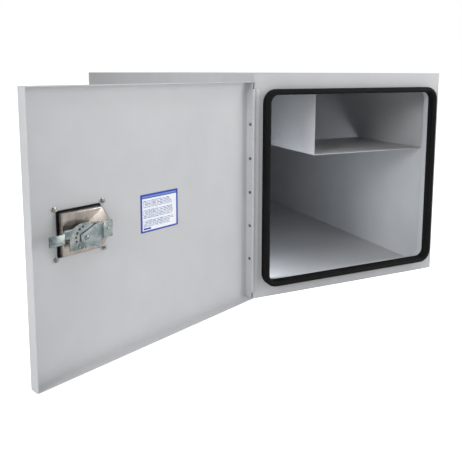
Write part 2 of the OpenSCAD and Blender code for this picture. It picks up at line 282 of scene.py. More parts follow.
def ring_tree():
    """Sweeps a section round a rectangle with round corners, lying in X and Z."""
    tree, given, result = new_tree(
        "section_round_an_opening",
        (("Section", "Geometry"), ("Width", "Float"), ("Height", "Float"), ("Corner", "Float"),
         ("Centre", "Vector"), ("Spacing", "Float"), ("Finish", "Material")),
        "Ring")
    frame_line = tree.nodes.new("GeometryNodeCurvePrimitiveQuadrilateral")
    fillet = tree.nodes.new("GeometryNodeFilletCurve")
    fillet.mode = "POLY"
    fillet.inputs["Count"].default_value = 14
    fine = tree.nodes.new("GeometryNodeResampleCurve")
    fine.mode = "LENGTH"
    normal = tree.nodes.new("GeometryNodeSetCurveNormal")
    normal.mode = "Z_UP"
    section = tree.nodes.new("GeometryNodeMeshToCurve")
    swept = tree.nodes.new("GeometryNodeCurveToMesh")
    upright = tree.nodes.new("GeometryNodeTransform")
    upright.inputs["Rotation"].default_value = (math.radians(-90), 0, 0)
    real = tree.nodes.new("GeometryNodeRealizeInstances")
    coat = tree.nodes.new("GeometryNodeSetMaterial")
    join(tree,
         (given.outputs["Width"], frame_line.inputs["Width"]),
         (given.outputs["Height"], frame_line.inputs["Height"]),
         (frame_line.outputs["Curve"], fillet.inputs["Curve"]),
         (given.outputs["Corner"], fillet.inputs["Radius"]),
         (fillet.outputs["Curve"], fine.inputs["Curve"]),
         (given.outputs["Spacing"], fine.inputs["Length"]),
         (fine.outputs["Curve"], normal.inputs["Curve"]),
         (normal.outputs["Curve"], swept.inputs["Curve"]),
         (given.outputs["Section"], section.inputs["Mesh"]),
         (section.outputs["Curve"], swept.inputs["Profile Curve"]),
         (swept.outputs["Mesh"], upright.inputs["Geometry"]),
         (given.outputs["Centre"], upright.inputs["Translation"]),
         (upright.outputs["Geometry"], real.inputs["Geometry"]),
         (real.outputs["Geometry"], coat.inputs["Geometry"]),
         (given.outputs["Finish"], coat.inputs["Material"]),
         (coat.outputs["Geometry"], result.inputs[0]))
    return tree


def grown(shape, tree, **values):
    """Runs a tree on a mesh and returns the result as a plain mesh."""
    mesh = bpy.data.meshes.new("seed_part")
    shape.to_mesh(mesh)
    shape.free()
    carrier = bpy.data.objects.new("seed_part", mesh)
    bpy.context.scene.collection.objects.link(carrier)
    modifier = carrier.modifiers.new(tree.name, "NODES")
    modifier.node_group = tree
    for item in tree.interface.items_tree:
        title = item.name.lower().replace(" ", "_")
        if item.in_out == "INPUT" and title in values:
            modifier[item.identifier] = values[title]
    bpy.context.view_layer.update()
    ready = carrier.evaluated_get(bpy.context.evaluated_depsgraph_get())
    result = bpy.data.meshes.new_from_object(ready)
    carrier.modifiers.remove(modifier)
    bpy.data.objects.remove(carrier)
    bpy.data.meshes.remove(mesh)
    return result


rows_of_one_part = rows_tree()
section_round_an_opening = ring_tree()


def row(part, finish, columns, first, column_step, rows=1, row_step=(0, 0, 0),
        facing=(0, 0, 0), loose_turn=0.0, seed=SEED):
    return grown(part, rows_of_one_part, columns=columns, rows=rows, first_place=first,
                 column_step=column_step, row_step=row_step, facing=facing,
                 loose_turn=loose_turn, seed=seed, finish=finish)


# -------------------------------------------------------------- shader groups

def new_group(name, given, results):
    """A shader node group with named inputs and their first values."""
    tree = bpy.data.node_groups.new(name, "ShaderNodeTree")
    for title, kind, value in given:
        socket = tree.interface.new_socket(title, in_out="INPUT", socket_type="NodeSocket" + kind)
        if value is not None:
            socket.default_value = value
    for title, kind in results:
        tree.interface.new_socket(title, in_out="OUTPUT", socket_type="NodeSocket" + kind)
    return tree, tree.nodes.new("NodeGroupInput"), tree.nodes.new("NodeGroupOutput")


def noise_value(tree, place, scale, detail=3.0, roughness=0.55):
    made = tree.nodes.new("ShaderNodeTexNoise")
    made.inputs["Detail"].default_value = detail
    made.inputs["Roughness"].default_value = roughness
    join(tree, (place, made.inputs["Vector"]))
    if isinstance(scale, (int, float)):
        made.inputs["Scale"].default_value = scale
    else:
        join(tree, (scale, made.inputs["Scale"]))
    return made.outputs["Fac"]


def ranged(tree, value, low, high, to_low=0.0, to_high=1.0):
    made = tree.nodes.new("ShaderNodeMapRange")
    join(tree, (value, made.inputs["Value"]))
    for title, number in (("From Min", low), ("From Max", high),
                          ("To Min", to_low), ("To Max", to_high)):
        if isinstance(number, (int, float)):
            made.inputs[title].default_value = number
        else:
            join(tree, (number, made.inputs[title]))
    return made.outputs["Result"]


def mixed(tree, mask, first, second):
    """Mixes two colours, each a socket or a plain colour."""
    made = tree.nodes.new("ShaderNodeMix")
    made.data_type = "RGBA"
    join(tree, (mask, made.inputs["Factor"]))
    for title, colour in (("A", first), ("B", second)):
        target = next(s for s in made.inputs if s.name == title and s.type == "RGBA")
        if isinstance(colour, (tuple, list)):
            target.default_value = (*colour[:3], 1.0)
        else:
            join(tree, (colour, target))
    return next(s for s in made.outputs if s.type == "RGBA")


def edge_wear_group():
    """Mask that is bright where a surface turns a corner, broken up by a pattern."""
    tree, given, result = new_group(
        "edge_wear",
        (("Place", "Vector", None), ("Reach", "Float", 0.001), ("Amount", "Float", 1.0),
         ("Patches", "Float", 60.0)),
        (("Mask", "Float"),))
    rounded = tree.nodes.new("ShaderNodeBevel")
    rounded.samples = 4
    surface = tree.nodes.new("ShaderNodeNewGeometry")
    agree = tree.nodes.new("ShaderNodeVectorMath")
    agree.operation = "DOT_PRODUCT"
    join(tree, (given.outputs["Reach"], rounded.inputs["Radius"]),
         (rounded.outputs["Normal"], agree.inputs[0]),
         (surface.outputs["Normal"], agree.inputs[1]))
    turn = maths(tree, "SUBTRACT", 1.0, agree.outputs["Value"])
    corner = ranged(tree, turn, 0.03, 0.22)
    patch = noise_value(tree, given.outputs["Place"], given.outputs["Patches"])
    patch = ranged(tree, patch, 0.42, 0.62)
    worn = maths(tree, "MULTIPLY", corner, patch)
    join(tree, (maths(tree, "MULTIPLY", worn, given.outputs["Amount"]), result.inputs["Mask"]))
    return tree


def settled_dust_group():
    """Mask of fine dust on what faces up, and a trace of it in patches elsewhere."""
    tree, given, result = new_group(
        "settled_dust",
        (("Place", "Vector", None), ("Amount", "Float", 0.3), ("Patches", "Float", 14.0)),
        (("Mask", "Float"),))
    surface = tree.nodes.new("ShaderNodeNewGeometry")
    part = tree.nodes.new("ShaderNodeSeparateXYZ")
    join(tree, (surface.outputs["Normal"], part.inputs[0]))
    facing = ranged(tree, part.outputs["Z"], 0.2, 0.9, 0.12, 1.0)
    cloud = noise_value(tree, given.outputs["Place"], given.outputs["Patches"], detail=6.0)
    cloud = ranged(tree, cloud, 0.38, 0.7)
    mask = maths(tree, "MULTIPLY", facing, cloud)
    join(tree, (maths(tree, "MULTIPLY", mask, given.outputs["Amount"]), result.inputs["Mask"]))
    return tree


def stretched_grain_group():
    """Fine height pattern, stretched along the axes, with a wider wave under it."""
    tree, given, result = new_group(
        "stretched_grain",
        (("Place", "Vector", None), ("Scale", "Float", 400.0), ("Stretch", "Vector", None),
         ("Wave", "Float", 12.0), ("Wave share", "Float", 0.3)),
        (("Height", "Float"),))
    pulled = tree.nodes.new("ShaderNodeVectorMath")
    pulled.operation = "MULTIPLY"
    join(tree, (given.outputs["Place"], pulled.inputs[0]),
         (given.outputs["Stretch"], pulled.inputs[1]))
    fine = noise_value(tree, pulled.outputs[0], given.outputs["Scale"], detail=2.0)
    broad = noise_value(tree, given.outputs["Place"], given.outputs["Wave"], detail=1.0)
    broad = maths(tree, "MULTIPLY", broad, given.outputs["Wave share"])
    join(tree, (maths(tree, "ADD", fine, broad), result.inputs["Height"]))
    return tree


def mottle_group():
    """Colour that drifts between two tones, large soft clouds with small ones in them."""
    tree, given, result = new_group(
        "mottle",
        (("Place", "Vector", None), ("Scale", "Float", 5.0), ("Fine", "Float", 60.0),
         ("Light", "Color", (1, 1, 1, 1)), ("Dark", "Color", (0, 0, 0, 1))),
        (("Color", "Color"), ("Drift", "Float")))
    broad = noise_value(tree, given.outputs["Place"], given.outputs["Scale"], detail=2.0)
    small = noise_value(tree, given.outputs["Place"], given.outputs["Fine"], detail=4.0)
    drift = maths(tree, "ADD", maths(tree, "MULTIPLY", broad, 0.7),
                  maths(tree, "MULTIPLY", small, 0.3))
    drift = ranged(tree, drift, 0.36, 0.64)
    colour = mixed(tree, drift, given.outputs["Dark"], given.outputs["Light"])
    join(tree, (colour, result.inputs["Color"]), (drift, result.inputs["Drift"]))
    return tree


edge_wear = edge_wear_group()
settled_dust = settled_dust_group()
stretched_grain = stretched_grain_group()
mottle = mottle_group()


# ------------------------------------------------------------------ materials

def use_group(tree, group, place, **values):
    made = tree.nodes.new("ShaderNodeGroup")
    made.node_tree = group
    join(tree, (place, made.inputs["Place"]))
    for title, value in values.items():
        made.inputs[title.capitalize().replace("_", " ")].default_value = value
    return made


def object_place(tree):
    return tree.nodes.new("ShaderNodeTexCoord").outputs["Object"]


DUST = (0.50, 0.48, 0.45)
DUST_ROUGHNESS = 0.35


def surface_finish(name, light, dark, metallic, rough, grain, bump, wear, dust, cloud=5.0,
                   fine=60.0, stretch=(1, 1, 1), wave_share=0.3):
    """One finish: drifting colour, worn edges, dust, and fine relief.

    rough is (lowest, highest); grain is the relief's scale per metre; bump is
    (strength, depth in metres); wear is (colour, amount, reach in metres)."""
    made = bpy.data.materials.new(name)
    made.use_nodes = True
    tree = made.node_tree
    shader = tree.nodes["Principled BSDF"]
    place = object_place(tree)
    tone = use_group(tree, mottle, place, scale=cloud, fine=fine,
                     light=(*light, 1), dark=(*dark, 1))
    worn = use_group(tree, edge_wear, place, amount=wear[1], reach=wear[2])
    dusty = use_group(tree, settled_dust, place, amount=dust)
    relief = use_group(tree, stretched_grain, place, scale=grain, stretch=stretch,
                       wave_share=wave_share)
    colour = mixed(tree, worn.outputs["Mask"], tone.outputs["Color"], wear[0])
    colour = mixed(tree, dusty.outputs["Mask"], colour, DUST)
    gloss = ranged(tree, relief.outputs["Height"], 0.3, 0.9, rough[0], rough[1])
    gloss = maths(tree, "ADD", gloss, maths(tree, "MULTIPLY", dusty.outputs["Mask"],
                                              DUST_ROUGHNESS))
    raised = tree.nodes.new("ShaderNodeBump")
    raised.inputs["Strength"].default_value = bump[0]
    raised.inputs["Distance"].default_value = bump[1]
    join(tree, (colour, shader.inputs["Base Color"]), (gloss, shader.inputs["Roughness"]),
         (relief.outputs["Height"], raised.inputs["Height"]),
         (raised.outputs["Normal"], shader.inputs["Normal"]))
    shader.inputs["Metallic"].default_value = metallic
    return made


def inside(tree, value, low, high):
    """1 where a value lies between two limits, else 0."""
    return maths(tree, "MULTIPLY", maths(tree, "GREATER_THAN", value, low),
                 maths(tree, "LESS_THAN", value, high))


PRINT_BLUE = (0.002, 0.035, 0.34)
HEADER_BLUE = (0.14, 0.22, 0.58)
DASH_BLUE = (0.03, 0.09, 0.32)
FRAME_SHARE = 0.045


def label_finish():
    """White film printed in blue: a frame, a header band, and rows of plain dashes."""
    made = bpy.data.materials.new("label_film")
    made.use_nodes = True
    tree = made.node_tree
    shader = tree.nodes["Principled BSDF"]
    chart = tree.nodes.new("ShaderNodeUVMap")
    chart.uv_map = "film"
    splitter = tree.nodes.new("ShaderNodeSeparateXYZ")
    join(tree, (chart.outputs[0], splitter.inputs[0]))
    across, up = splitter.outputs["X"], splitter.outputs["Y"]
    clear_x = inside(tree, across, FRAME_SHARE, 1 - FRAME_SHARE)
    clear_z = inside(tree, up, FRAME_SHARE, 1 - FRAME_SHARE)
    border = maths(tree, "SUBTRACT", 1.0, maths(tree, "MULTIPLY", clear_x, clear_z))
    header = inside(tree, up, 0.885, 1.0)
    pale_band = maths(tree, "MULTIPLY", inside(tree, up, 0.91, 0.95),
                      inside(tree, across, 0.05, 0.95))
    broken = tree.nodes.new("ShaderNodeTexBrick")
    broken.offset = 0.37
    broken.squash = 1.6
    broken.squash_frequency = 3
    for title, value in (("Scale", 1.0), ("Mortar Size", 0.010), ("Mortar Smooth", 0.2),
                         ("Brick Width", 0.10), ("Row Height", 0.040)):
        broken.inputs[title].default_value = value
    broken.inputs["Color1"].default_value = (1, 1, 1, 1)
    broken.inputs["Color2"].default_value = (0.55, 0.55, 0.55, 1)
    broken.inputs["Mortar"].default_value = (0, 0, 0, 1)
    join(tree, (chart.outputs[0], broken.inputs["Vector"]))
    paragraphs = maths(tree, "ADD", inside(tree, up, 0.64, 0.84),
                       maths(tree, "ADD", inside(tree, up, 0.36, 0.60),
                             inside(tree, up, 0.14, 0.32)))
    ragged = noise_value(tree, chart.outputs[0], 3.0)
    edge = ranged(tree, ragged, 0.3, 0.7, 0.7, 1.0)
    dashes = maths(tree, "MULTIPLY", broken.outputs["Color"], paragraphs)
    dashes = maths(tree, "MULTIPLY", dashes, inside(tree, across, 0.07, edge))
    dashes = maths(tree, "MULTIPLY", dashes, 0.95)
    block = maths(tree, "MULTIPLY", inside(tree, across, 0.07, 0.26),
                  inside(tree, up, 0.07, 0.115))
    paper = use_group(tree, mottle, object_place(tree), scale=30.0,
                      light=(0.80, 0.82, 0.86, 1), dark=(0.76, 0.78, 0.82, 1))
    colour = mixed(tree, dashes, paper.outputs["Color"], DASH_BLUE)
    colour = mixed(tree, block, colour, PRINT_BLUE)
    colour = mixed(tree, header, colour, PRINT_BLUE)
    colour = mixed(tree, pale_band, colour, HEADER_BLUE)
    colour = mixed(tree, border, colour, PRINT_BLUE)
    ink = maths(tree, "ADD", border, dashes)
    join(tree, (colour, shader.inputs["Base Color"]),
         (ranged(tree, ink, 0.0, 1.0, 0.32, 0.42), shader.inputs["Roughness"]))
    return made



white_coat = surface_finish(
    "white_powder_coat", (0.508, 0.514, 0.528), (0.464, 0.471, 0.486), 0.0, (0.30, 0.42),
    grain=900, bump=(0.10, 0.0004), wear=((0.42, 0.43, 0.45), 0.35, 0.0012), dust=0.10,
    cloud=3.5, fine=22.0, wave_share=1.2)
seal_rubber = surface_finish(
    "seal_rubber", (0.005, 0.005, 0.005), (0.003, 0.003, 0.003), 0.0, (0.50, 0.70),
    grain=1400, bump=(0.25, 0.0003), wear=((0.016, 0.016, 0.017), 0.3, 0.0008), dust=0.0,
    cloud=9.0, fine=120.0)
gasket_rubber = surface_finish(
    "gasket_rubber", (0.012, 0.012, 0.013), (0.006, 0.006, 0.007), 0.0, (0.55, 0.80),
    grain=1800, bump=(0.35, 0.0002), wear=((0.03, 0.03, 0.033), 0.4, 0.0006), dust=0.04,
    cloud=40.0, fine=300.0)
turned_steel = surface_finish(
    "turned_steel", (0.40, 0.40, 0.39), (0.22, 0.22, 0.22), 1.0, (0.14, 0.30),
    grain=900, bump=(0.08, 0.0002), wear=((0.72, 0.72, 0.71), 0.7, 0.0004), dust=0.05,
    cloud=60.0, fine=700.0, stretch=(1, 1, 4))
rivet_steel = surface_finish(
    "rivet_steel", (0.17, 0.175, 0.18), (0.09, 0.093, 0.096), 1.0, (0.26, 0.44),
    grain=1500, bump=(0.15, 0.0002), wear=((0.40, 0.40, 0.40), 0.3, 0.0004), dust=0.03,
    cloud=90.0, fine=900.0)
brushed_stainless = surface_finish(
    "brushed_stainless", (0.43, 0.385, 0.35), (0.25, 0.222, 0.20), 1.0, (0.20, 0.40),
    grain=70, bump=(0.16, 0.0002), wear=((0.80, 0.78, 0.75), 0.8, 0.0008), dust=0.04,
    cloud=24.0, fine=240.0, stretch=(1, 1, 55), wave_share=0.2)
zinc_plate = surface_finish(
    "zinc_plate", (0.35, 0.385, 0.38), (0.10, 0.135, 0.145), 1.0, (0.20, 0.38),
    grain=800, bump=(0.14, 0.0002), wear=((0.80, 0.82, 0.81), 0.8, 0.0008), dust=0.04,
    cloud=45.0, fine=420.0)
sintered_bronze = surface_finish(
    "sintered_bronze", (0.48, 0.31, 0.13), (0.30, 0.18, 0.07), 1.0, (0.32, 0.52),
    grain=2600, bump=(0.25, 0.0001), wear=((0.66, 0.46, 0.22), 0.6, 0.0004), dust=0.08,
    cloud=80.0, fine=800.0)
lock_brass = surface_finish(
    "lock_brass", (0.62, 0.48, 0.22), (0.42, 0.31, 0.13), 1.0, (0.22, 0.40),
    grain=1300, bump=(0.10, 0.0001), wear=((0.80, 0.66, 0.38), 0.6, 0.0003), dust=0.08,
    cloud=90.0, fine=900.0, stretch=(1, 1, 3))
label_film = label_finish()
RUBBER_SHINE = 0.12
for rubber in (seal_rubber, gasket_rubber):
    shader = rubber.node_tree.nodes["Principled BSDF"]
    shader.inputs["Specular IOR Level"].default_value = RUBBER_SHINE


# ---------------------------------------------------------------------- parts

body_low = Vector([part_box("left_side_panel")[0].x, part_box("left_side_panel")[0].y, 0.0])
body_high = Vector([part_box("right_side_panel")[1].x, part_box("rear_panel")[1].y,
                    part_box("left_side_panel")[1].z])
face_y = body_low.y
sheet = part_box("rear_panel")[1].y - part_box("rear_panel")[0].y


def on_outer_corner(edge):
    """True for an edge that lies along a corner line of the box."""
    middle = (edge.verts[0].co + edge.verts[1].co) / 2
    planes = 0
    for axis in range(3):
        near_low = abs(middle[axis] - body_low[axis]) < 0.1 * MM
        near_high = abs(middle[axis] - body_high[axis]) < 0.1 * MM
        planes += near_low or near_high
    return planes >= 2


def merged(*shapes):
    """One mesh from several, bmesh or plain."""
    whole = bmesh.new()
    for shape in shapes:
        if isinstance(shape, bmesh.types.BMesh):
            mesh = bpy.data.meshes.new("part_of_piece")
            shape.to_mesh(mesh)
            shape.free()
        else:
            mesh = shape
        whole.from_mesh(mesh)
        bpy.data.meshes.remove(mesh)
    return whole


def plate(low, high, width, segments=2):
    """A flat bar or plate between two corners, with softened edges."""
    shape = bmesh.new()
    bmesh.ops.create_cube(shape, size=1.0)
    size = Vector(high) - Vector(low)
    middle = (Vector(high) + Vector(low)) / 2
    shape.transform(Matrix.Translation(middle) @ Matrix.Diagonal((*size, 1)))
    return soften(shape, width, segments=segments)


def turned(outline, sides, x, y, z):
    """A turned part whose axis runs back from the face, starting at y."""
    shape = lathe(outline, sides)
    shape.transform(Matrix.Translation((x, y, z)) @ Matrix.Rotation(math.radians(-90), 4, "X"))
    return shape


def turned_at(node, outline, sides=48):
    """A turned part on the axis of a CAD node, starting at the node's outer end."""
    low, high = shut_box(node)
    return turned(outline, sides, (low.x + high.x) / 2, low.y, (low.z + high.z) / 2)


def make_shell():
    """Side, top, floor and rear sheets, and the plates of the door end."""
    seams = [corner.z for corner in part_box("left_jamb")]

    def on_outer_edge_or_seam(edge):
        first, last = (corner.co for corner in edge.verts)
        level = abs(first.z - last.z) < 0.01 * MM
        front = max(first.y, last.y) < face_y + 0.01 * MM
        at_seam = min(abs(first.z - seam) for seam in seams) < 0.01 * MM
        return on_outer_corner(edge) or (level and front and at_seam)

    for node in ("left_side_panel", "right_side_panel", "top_panel", "floor_panel",
                 "rear_panel"):
        shape = soften(cad_copy(node), 0.8 * sheet, among=on_outer_corner)
        piece(node + "_sheet", shape, "enclosure", white_coat, [node])
    for node in ("front_header", "front_sill", "left_jamb", "right_jamb"):
        shape = soften(cad_copy(node), 0.5 * sheet, among=on_outer_edge_or_seam)
        piece(node + "_sheet", shape, "enclosure", white_coat, [node])


def make_shelf():
    for node in ("shelf_plate", "shelf_divider"):
        shape = soften(cad_copy(node), 0.35 * sheet, segments=3)
        piece(node + "_sheet", shape, "enclosure", white_coat, [node])


def outline_sizes(node):
    """Width, height, corner radius and centre of a node that rings the doorway."""
    low, high = shut_box(node)
    bottom = [v.co for v in frame["nodes"][node].data.vertices if v.co.z < low.z + 0.05 * MM]
    corner = min(point.x for point in bottom) - low.x
    return high.x - low.x, high.z - low.z, corner, (low + high) / 2


def section_shape(points):
    """A closed outline as bare edges, to be swept."""
    shape = bmesh.new()
    corners = [shape.verts.new((u, w, 0)) for u, w in points]
    for place, corner in enumerate(corners):
        shape.edges.new((corner, corners[(place + 1) % len(corners)]))
    return shape


def ring(points, node, inset, finish, spacing):
    """Sweeps an outline, given as (towards the middle, towards the front), round the opening."""
    width, height, corner, centre = outline_sizes(node)
    return grown(section_shape(points), section_round_an_opening,
                 width=width - 2 * inset, height=height - 2 * inset, corner=corner - inset,
                 centre=(centre.x, face_y, centre.z), spacing=spacing, finish=finish)


def make_rim():
    """Folded steel rim that carries the seal and runs back as a return."""
    low, high = shut_box("opening_rim")
    thick = sheet
    half = thick / 2
    front = face_y - low.y
    back = face_y - high.y
    points = arc(0, front - half, half, 0, 180, 6) + arc(0, back + half, half, 180, 360, 6)
    shape = ring(points, "opening_rim", half, white_coat, 12 * MM)
    piece("opening_rim_fold", shape, "enclosure", white_coat, ["opening_rim"])


def make_seal():
    """Bulb seal: a round bulb on a grip with two small lips against the face."""
    low, high = shut_box("door_seal")
    stand = high.y - low.y
    half = 7.5 * MM
    neck = 11.5 * MM
    points = arc(0, stand - half, half, -48, 228, 22)
    points += [(-5.2 * MM, neck), (-5.8 * MM, 9 * MM), (-5.8 * MM, 3 * MM),
               (-7.2 * MM, 0.8 * MM), (-6.8 * MM, 0.2 * MM), (-5.4 * MM, 0.3 * MM),
               (5.4 * MM, 0.3 * MM), (6.8 * MM, 0.2 * MM), (7.2 * MM, 0.8 * MM),
               (5.8 * MM, 3 * MM), (5.8 * MM, 9 * MM), (5.2 * MM, neck)]
    mesh = ring(points, "door_seal", half, seal_rubber, 9 * MM)
    shape = bmesh.new()
    shape.from_mesh(mesh)
    bmesh.ops.remove_doubles(shape, verts=shape.verts, dist=0.01 * MM)
    bmesh.ops.recalc_face_normals(shape, faces=shape.faces)
    piece("door_seal_bulb", shape, "enclosure", seal_rubber, ["door_seal"], 50)


def make_welds():
    """Stacked ripples of the four short welds at the seams of the door end."""
    low, high = shut_box("seam_welds")
    radius = (high.y - low.y)
    ripple = arc(0, -0.75 * radius, 1.75 * radius, 28, 90, 7)
    ripple = [(r * 0.97, max(z, 0)) for r, z in ripple]
    ripple[-1] = (0, ripple[-1][1])
    step = 0.8 * radius
    lines = {}
    for start, end in solids("seam_welds"):
        lines.setdefault(round(start.x, 4), []).append((start, end))
    strips = []
    for group in lines.values():
        start, end = group[0]
        heights = sorted((one[0].z + one[1].z) / 2 for one in group)
        count = int((end.x - start.x - 2 * radius) / step) + 1
        strips.append(row(lathe(ripple, 16), white_coat, count,
                          (start.x + radius, face_y, heights[0]), (step, 0, 0), len(heights),
                          (0, 0, heights[-1] - heights[0]), facing=(math.radians(90), 0, 0),
                          loose_turn=0.6))
    piece("seam_weld_beads", merged(*strips), "enclosure", white_coat,
          ["seam_welds"], 60)


def solids(node):
    """Boxes of a CAD node's separate solids, door shut."""
    shape = cad_copy(node)
    waiting = set(shape.verts)
    boxes = []
    while waiting:
        front = [waiting.pop()]
        found = list(front)
        while front:
            for edge in front.pop().link_edges:
                for corner in edge.verts:
                    if corner in waiting:
                        waiting.remove(corner)
                        front.append(corner)
                        found.append(corner)
        low = Vector([min(corner.co[axis] for corner in found) for axis in range(3)])
        high = Vector([max(corner.co[axis] for corner in found) for axis in range(3)])
        boxes.append((low, high))
    shape.free()
    return sorted(boxes, key=lambda box: (round(box[0].z, 3), round(box[0].x, 3)))


KNUCKLES = 21
KNUCKLE_GAP = 0.5 * MM
LEAF = 1.5 * MM


def make_hinge():
    """Two leaves with alternate rolled knuckles, and the pin."""
    low, high = shut_box("hinge_leaf_body")
    radius = pin.x - low.x
    pitch = (high.z - low.z + KNUCKLE_GAP) / KNUCKLES
    tall = pitch - KNUCKLE_GAP
    base = low.z
    soft = 0.45 * MM
    barrel = [(0, 0), (radius - soft, 0)]
    barrel += arc(radius - soft, soft, soft, -60, 0, 2)
    barrel += arc(radius - soft, tall - soft, soft, 0, 60, 2)
    barrel += [(radius - soft, tall), (0, tall)]
    for node, body, first in (("hinge_leaf_body", "enclosure", 0),
                              ("hinge_leaf_door", "door", 1)):
        low, high = shut_box(node)
        count = (KNUCKLES + 1 - first) // 2
        start = base + first * pitch
        step = (0, 0, 2 * pitch)
        barrels = row(lathe(barrel, 28), white_coat, count, (pin.x, pin.y, start), step,
                      loose_turn=0.2)
        if first:
            flat = plate((low.x, low.y, low.z), (low.x + LEAF, pin.y - radius - 0.7 * MM, high.z),
                         0.4 * MM)
            tab = plate((-LEAF / 2, -radius - 0.9 * MM, 0), (LEAF / 2, 0, tall), 0.3 * MM)
            place = (low.x + LEAF / 2, pin.y, start)
        else:
            flat = plate((pin.x + radius + 1.2 * MM, face_y - LEAF, low.z),
                         (high.x, face_y, high.z), 0.4 * MM)
            tab = plate((0, -LEAF / 2, 0), (radius + 1.6 * MM, LEAF / 2, tall), 0.3 * MM)
            place = (pin.x, face_y - LEAF / 2, start)
        tabs = row(tab, white_coat, count, place, step)
        piece(node + "_rolled", merged(barrels, flat, tabs), body, white_coat,
              [node], 40)
    low, high = shut_box("hinge_pin")
    head = (high.x - low.x) / 2
    length = high.z - low.z
    rod = 2 * MM
    outline = [(0, 0), (head - 0.4 * MM, 0)] + arc(head - 0.4 * MM, 0.4 * MM, 0.4 * MM, -60, 0, 3)
    outline += [(head, 1.4 * MM), (head - 0.3 * MM, 1.7 * MM), (rod, 1.7 * MM)]
    outline += [(rod, length - 0.5 * MM), (rod - 0.5 * MM, length), (0, length)]
    shape = lathe(outline, 32)
    shape.transform(Matrix.Translation((pin.x, pin.y, low.z)))
    piece("hinge_pin_rod", shape, "enclosure", turned_steel, ["hinge_pin"])


def make_hinge_rivets():
    """Round-headed rivets in the door's hinge edge, each turned its own way."""
    boxes = solids("hinge_rivets")
    low, high = boxes[0]
    step = boxes[1][0].z - low.z
    length = high.x - low.x
    dome = 1.9 * MM
    base = length - dome
    outline = [(0, 0), (2.9 * MM, 0), (3.2 * MM, 0.3 * MM), (3.2 * MM, 0.8 * MM),
               (3.0 * MM, 1.0 * MM), (2.0 * MM, 1.0 * MM), (2.0 * MM, base), (4.0 * MM, base)]
    outline += [(4.1 * MM * math.cos(math.radians(a)), base + dome * math.sin(math.radians(a)))
                for a in range(8, 85, 9)]
    outline += [(0.5 * MM, base + 0.995 * dome), (0.35 * MM, base + 0.95 * dome),
                (0, base + 0.93 * dome)]
    mesh = row(lathe(outline, 28), rivet_steel, len(boxes),
               (low.x, (low.y + high.y) / 2, (low.z + high.z) / 2), (0, 0, step),
               facing=(0, math.radians(90), 0), loose_turn=3.0)
    piece("hinge_rivet_heads", mesh, "door", rivet_steel, ["hinge_rivets"], 50)


def make_door():
    """One sheet with its four edges folded in, with a real bend along each fold."""
    def long_edge(edge):
        return edge.calc_length() > 100 * MM

    shape = soften(cad_copy("door_pan"), 0.85 * sheet, among=long_edge, segments=4)
    piece("door_folded_sheet", shape, "door", white_coat, ["door_pan"])


def make_label():
    """Thin film with round corners, and a flat chart of its face for the printing."""
    low, high = shut_box("care_label")
    shape = bmesh.new()
    radius = 2 * MM
    outline = []
    for centre_x, centre_z, start in ((high.x - radius, high.z - radius, 0),
                                      (low.x + radius, high.z - radius, 90),
                                      (low.x + radius, low.z + radius, 180),
                                      (high.x - radius, low.z + radius, 270)):
        outline += arc(centre_x, centre_z, radius, start, start + 90, 5)
    front = [shape.verts.new((x, high.y, z)) for x, z in outline]
    face = shape.faces.new(front)
    wall = bmesh.ops.extrude_face_region(shape, geom=[face])
    moved = [item for item in wall["geom"] if isinstance(item, bmesh.types.BMVert)]
    bmesh.ops.translate(shape, verts=moved, vec=(0, low.y - high.y, 0))
    bmesh.ops.recalc_face_normals(shape, faces=shape.faces)
    chart = shape.loops.layers.uv.new("film")
    for one in shape.faces:
        for loop in one.loops:
            corner = loop.vert.co
            loop[chart].uv = ((high.x - corner.x) / (high.x - low.x),
                              (corner.z - low.z) / (high.z - low.z))
    piece("care_label_film", shape, "door", label_film, ["care_label"])


def make_latch_pan():
    """Pressed stainless pan with rounded walls, flange and floor."""
    high = shut_box("latch_pan")[1]
    wall = 1.2 * MM

    def outer_bend(edge):
        at_back = max(corner.co.y for corner in edge.verts) > high.y - 0.1 * MM
        return at_back and edge.calc_length() > 8 * MM

    def inner_bend(edge):
        deepest = max(corner.co.y for corner in edge.verts)
        return abs(deepest - (high.y - wall)) < 0.1 * MM and edge.calc_length() > 8 * MM

    shape = soften(cad_copy("latch_pan"), 2.8 * MM, among=outer_bend, segments=5)
    soften(shape, 1.8 * MM, among=inner_bend, segments=4)
    piece("latch_pan_pressing", shape, "door", brushed_stainless, ["latch_pan"])


def make_latch_gasket():
    shape = soften(cad_copy("latch_gasket"), 0.5 * MM, shortest=1.5 * MM, segments=3)
    piece("latch_gasket_ring", shape, "door", gasket_rubber,
          ["latch_gasket"])


